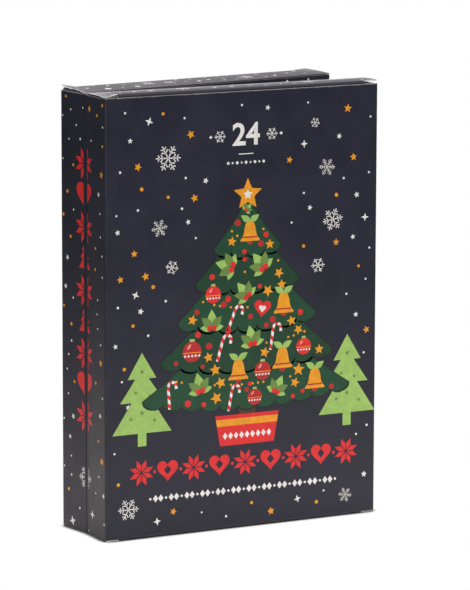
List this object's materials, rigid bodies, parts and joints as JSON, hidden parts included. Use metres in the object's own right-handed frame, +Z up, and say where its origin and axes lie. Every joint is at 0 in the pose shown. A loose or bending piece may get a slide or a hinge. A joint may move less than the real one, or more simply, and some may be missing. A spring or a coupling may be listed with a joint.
{
  "type": "advent calendar",
  "caption": "Book-style advent calendar of printed board standing slightly ajar, with tuck-in lids at both ends and numbered doors over chocolates in formed trays.",
  "frame": {"origin": "middle of the base of the bounding box, on the surface that the calendar stands on", "axes": "+Z up along the spine, +X from the spine towards the fore edge, +Y from the front panel towards the rear half"},
  "size_m": [0.2258, 0.0982, 0.324],
  "materials": {
    "printed_board": "satin coated solid board, printed dark navy, raw white at cut edges",
    "door_board": "satin coated solid board, printed, raw white at perforated edges",
    "tray_sheet": "thin thermoformed sheet, glossy gold brown",
    "milk_chocolate": "moulded milk chocolate with a soft sheen"
  },
  "bodies": {
    "front_half": {"front_carton": "printed_board", "front_tray": "tray_sheet", "chocolate_02": "milk_chocolate", "chocolate_04": "milk_chocolate", "chocolate_05": "milk_chocolate", "chocolate_07": "milk_chocolate", "chocolate_09": "milk_chocolate", "chocolate_11": "milk_chocolate", "chocolate_13": "milk_chocolate", "chocolate_15": "milk_chocolate", "chocolate_17": "milk_chocolate", "chocolate_20": "milk_chocolate", "chocolate_22": "milk_chocolate", "chocolate_24": "milk_chocolate"},
    "rear_half": {"rear_carton": "printed_board", "rear_tray": "tray_sheet", "chocolate_01": "milk_chocolate", "chocolate_03": "milk_chocolate", "chocolate_06": "milk_chocolate", "chocolate_08": "milk_chocolate", "chocolate_10": "milk_chocolate", "chocolate_12": "milk_chocolate", "chocolate_14": "milk_chocolate", "chocolate_16": "milk_chocolate", "chocolate_18": "milk_chocolate", "chocolate_19": "milk_chocolate", "chocolate_21": "milk_chocolate", "chocolate_23": "milk_chocolate"},
    "front_top_lid": {"front_top_lid": "printed_board"},
    "front_bottom_lid": {"front_bottom_lid": "printed_board"},
    "rear_top_lid": {"rear_top_lid": "printed_board"},
    "rear_bottom_lid": {"rear_bottom_lid": "printed_board"},
    "door_01": {"door_01": "door_board"},
    "door_02": {"door_02": "door_board"},
    "door_03": {"door_03": "door_board"},
    "door_04": {"door_04": "door_board"},
    "door_05": {"door_05": "door_board"},
    "door_06": {"door_06": "door_board"},
    "door_07": {"door_07": "door_board"},
    "door_08": {"door_08": "door_board"},
    "door_09": {"door_09": "door_board"},
    "door_10": {"door_10": "door_board"},
    "door_11": {"door_11": "door_board"},
    "door_12": {"door_12": "door_board"},
    "door_13": {"door_13": "door_board"},
    "door_14": {"door_14": "door_board"},
    "door_15": {"door_15": "door_board"},
    "door_16": {"door_16": "door_board"},
    "door_17": {"door_17": "door_board"},
    "door_18": {"door_18": "door_board"},
    "door_19": {"door_19": "door_board"},
    "door_20": {"door_20": "door_board"},
    "door_21": {"door_21": "door_board"},
    "door_22": {"door_22": "door_board"},
    "door_23": {"door_23": "door_board"},
    "door_24": {"door_24": "door_board"}
  },
  "joints": [
    {"name": "book_hinge", "type": "hinge", "parent": "front_half", "child": "rear_half", "pos_m": [-0.10808, -0.01735, 0.16045], "axis": [0, 0, 1], "range_deg": [-9.2, 168.8]},
    {"name": "front_top_lid_hinge", "type": "hinge", "parent": "front_half", "child": "front_top_lid", "pos_m": [0.00242, -0.01795, 0.3206], "axis": [-1, 0, 0], "range_deg": [0, 90]},
    {"name": "front_bottom_lid_hinge", "type": "hinge", "parent": "front_half", "child": "front_bottom_lid", "pos_m": [0.00242, -0.01795, 0.0003], "axis": [1, 0, 0], "range_deg": [0, 90]},
    {"name": "rear_top_lid_hinge", "type": "hinge", "parent": "rear_half", "child": "rear_top_lid", "pos_m": [0.0009, 0.00091, 0.3206], "axis": [0.9871, 0.1599, 0], "range_deg": [0, 90]},
    {"name": "rear_bottom_lid_hinge", "type": "hinge", "parent": "rear_half", "child": "rear_bottom_lid", "pos_m": [0.0009, 0.00091, 0.0003], "axis": [-0.9871, -0.1599, 0], "range_deg": [0, 90]},
    {"name": "door_01_hinge", "type": "hinge", "parent": "rear_half", "child": "door_01", "pos_m": [-0.09431, -0.01482, 0.27111], "axis": [0, 0, -1], "range_deg": [0, 10.5]},
    {"name": "door_02_hinge", "type": "hinge", "parent": "front_half", "child": "door_02", "pos_m": [0.03992, -0.01765, 0.19734], "axis": [0, 0, 1], "range_deg": [0, 31]},
    {"name": "door_03_hinge", "type": "hinge", "parent": "rear_half", "child": "door_03", "pos_m": [0.03797, 0.00661, 0.12356], "axis": [0, 0, -1], "range_deg": [0, 31]},
    {"name": "door_04_hinge", "type": "hinge", "parent": "front_half", "child": "door_04", "pos_m": [-0.02708, -0.01765, 0.27111], "axis": [0, 0, 1], "range_deg": [0, 20.5]},
    {"name": "door_05_hinge", "type": "hinge", "parent": "front_half", "child": "door_05", "pos_m": [-0.09408, -0.01765, 0.04979], "axis": [0, 0, 1], "range_deg": [0, 10.5]},
    {"name": "door_06_hinge", "type": "hinge", "parent": "rear_half", "child": "door_06", "pos_m": [-0.02817, -0.00411, 0.19734], "axis": [0, 0, -1], "range_deg": [0, 20.5]},
    {"name": "door_07_hinge", "type": "hinge", "parent": "front_half", "child": "door_07", "pos_m": [0.03992, -0.01765, 0.12356], "axis": [0, 0, 1], "range_deg": [0, 31]},
    {"name": "door_08_hinge", "type": "hinge", "parent": "rear_half", "child": "door_08", "pos_m": [-0.02817, -0.00411, 0.04979], "axis": [0, 0, -1], "range_deg": [0, 20.5]},
    {"name": "door_09_hinge", "type": "hinge", "parent": "front_half", "child": "door_09", "pos_m": [-0.09408, -0.01765, 0.19734], "axis": [0, 0, 1], "range_deg": [0, 10.5]},
    {"name": "door_10_hinge", "type": "hinge", "parent": "rear_half", "child": "door_10", "pos_m": [0.03797, 0.00661, 0.27111], "axis": [0, 0, -1], "range_deg": [0, 31]},
    {"name": "door_11_hinge", "type": "hinge", "parent": "front_half", "child": "door_11", "pos_m": [0.03992, -0.01765, 0.04979], "axis": [0, 0, 1], "range_deg": [0, 31]},
    {"name": "door_12_hinge", "type": "hinge", "parent": "rear_half", "child": "door_12", "pos_m": [-0.09431, -0.01482, 0.12356], "axis": [0, 0, -1], "range_deg": [0, 10.5]},
    {"name": "door_13_hinge", "type": "hinge", "parent": "front_half", "child": "door_13", "pos_m": [-0.02708, -0.01765, 0.19734], "axis": [0, 0, 1], "range_deg": [0, 20.5]},
    {"name": "door_14_hinge", "type": "hinge", "parent": "rear_half", "child": "door_14", "pos_m": [-0.09431, -0.01482, 0.19734], "axis": [0, 0, -1], "range_deg": [0, 10.5]},
    {"name": "door_15_hinge", "type": "hinge", "parent": "front_half", "child": "door_15", "pos_m": [-0.02708, -0.01765, 0.04979], "axis": [0, 0, 1], "range_deg": [0, 20.5]},
    {"name": "door_16_hinge", "type": "hinge", "parent": "rear_half", "child": "door_16", "pos_m": [0.03797, 0.00661, 0.04979], "axis": [0, 0, -1], "range_deg": [0, 31]},
    {"name": "door_17_hinge", "type": "hinge", "parent": "front_half", "child": "door_17", "pos_m": [-0.09408, -0.01765, 0.27111], "axis": [0, 0, 1], "range_deg": [0, 10.5]},
    {"name": "door_18_hinge", "type": "hinge", "parent": "rear_half", "child": "door_18", "pos_m": [-0.09431, -0.01482, 0.04979], "axis": [0, 0, -1], "range_deg": [0, 10.5]},
    {"name": "door_19_hinge", "type": "hinge", "parent": "rear_half", "child": "door_19", "pos_m": [-0.02817, -0.00411, 0.27111], "axis": [0, 0, -1], "range_deg": [0, 20.5]},
    {"name": "door_20_hinge", "type": "hinge", "parent": "front_half", "child": "door_20", "pos_m": [-0.09408, -0.01765, 0.12356], "axis": [0, 0, 1], "range_deg": [0, 10.5]},
    {"name": "door_21_hinge", "type": "hinge", "parent": "rear_half", "child": "door_21", "pos_m": [-0.02817, -0.00411, 0.12356], "axis": [0, 0, -1], "range_deg": [0, 20.5]},
    {"name": "door_22_hinge", "type": "hinge", "parent": "front_half", "child": "door_22", "pos_m": [0.03992, -0.01765, 0.27111], "axis": [0, 0, 1], "range_deg": [0, 31]},
    {"name": "door_23_hinge", "type": "hinge", "parent": "rear_half", "child": "door_23", "pos_m": [0.03797, 0.00661, 0.19734], "axis": [0, 0, -1], "range_deg": [0, 31]},
    {"name": "door_24_hinge", "type": "hinge", "parent": "front_half", "child": "door_24", "pos_m": [-0.02708, -0.01765, 0.12356], "axis": [0, 0, 1], "range_deg": [0, 20.5]}
  ]
}
